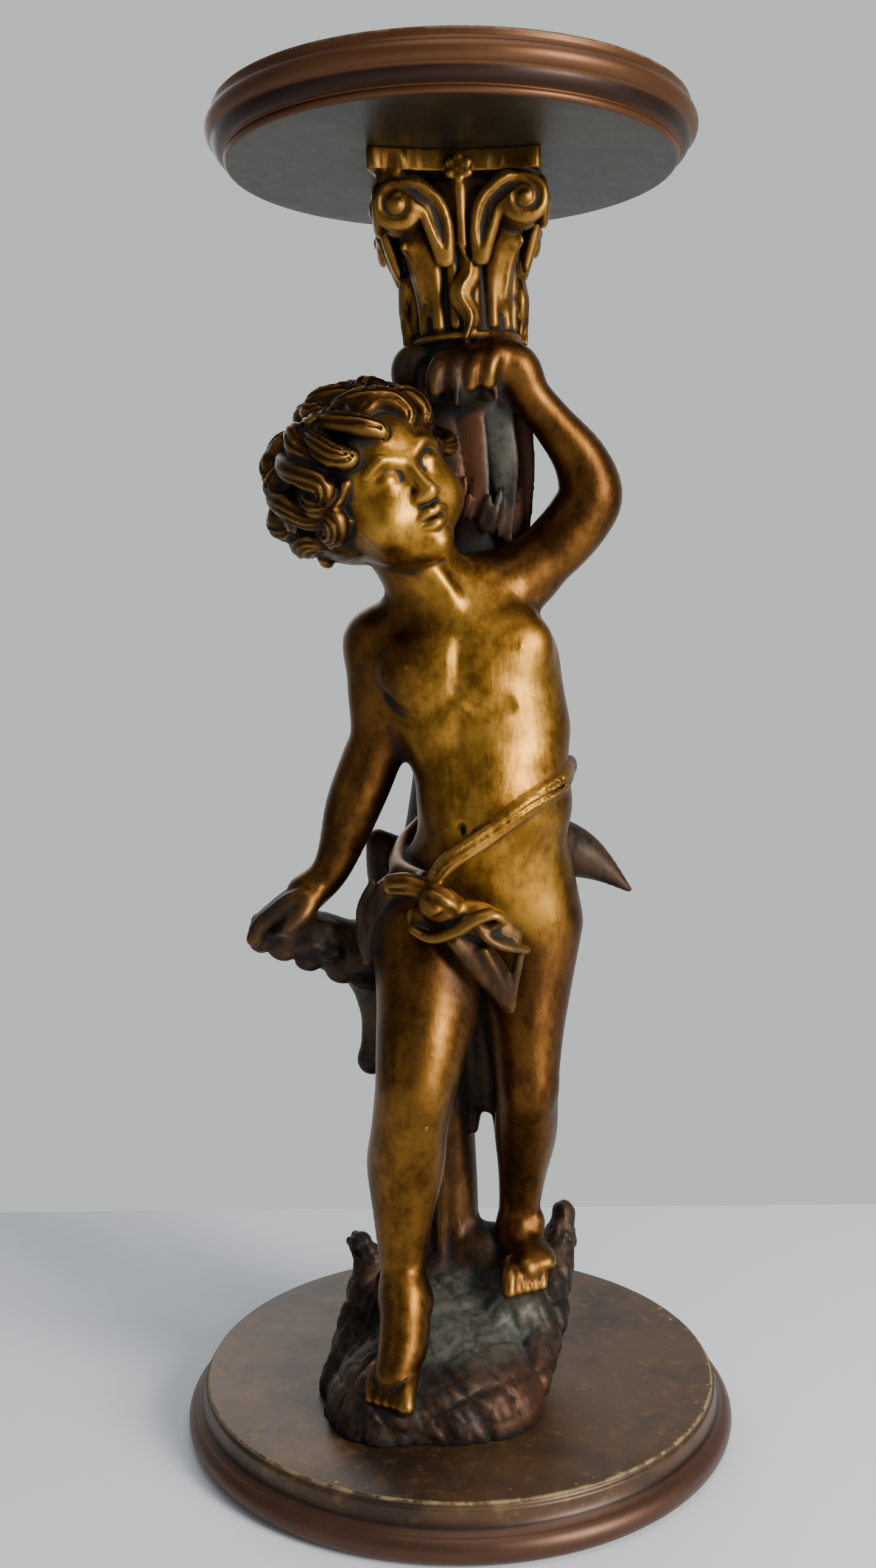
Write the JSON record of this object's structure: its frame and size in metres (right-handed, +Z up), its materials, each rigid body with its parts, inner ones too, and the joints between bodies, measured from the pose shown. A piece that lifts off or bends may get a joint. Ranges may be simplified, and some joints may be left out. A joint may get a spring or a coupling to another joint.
{
  "type": "carved putto stand",
  "caption": "Carved wooden stand: a child leans on a tree trunk that ends in a leafy capital and carries a round top, on a round moulded base, with a bronzed and gilded finish.",
  "frame": {"origin": "centre of the base's underside, on the floor", "axes": "+Z up, the figure's front towards -Y, +X to the right seen from the front"},
  "size_m": [0.366, 0.366, 0.85],
  "materials": {
    "base_wood": "turned wood under dark brown bronze paint, worn to copper at the edges",
    "gilded_carving": "carved wood, bronzed and gilded, gold on the high parts and near black in the hollows",
    "top_wood": "turned wood under dark bronze paint with a copper worn rim"
  },
  "bodies": {
    "root": {"base": "base_wood", "carving": "gilded_carving", "top": "top_wood"}
  },
  "joints": []
}
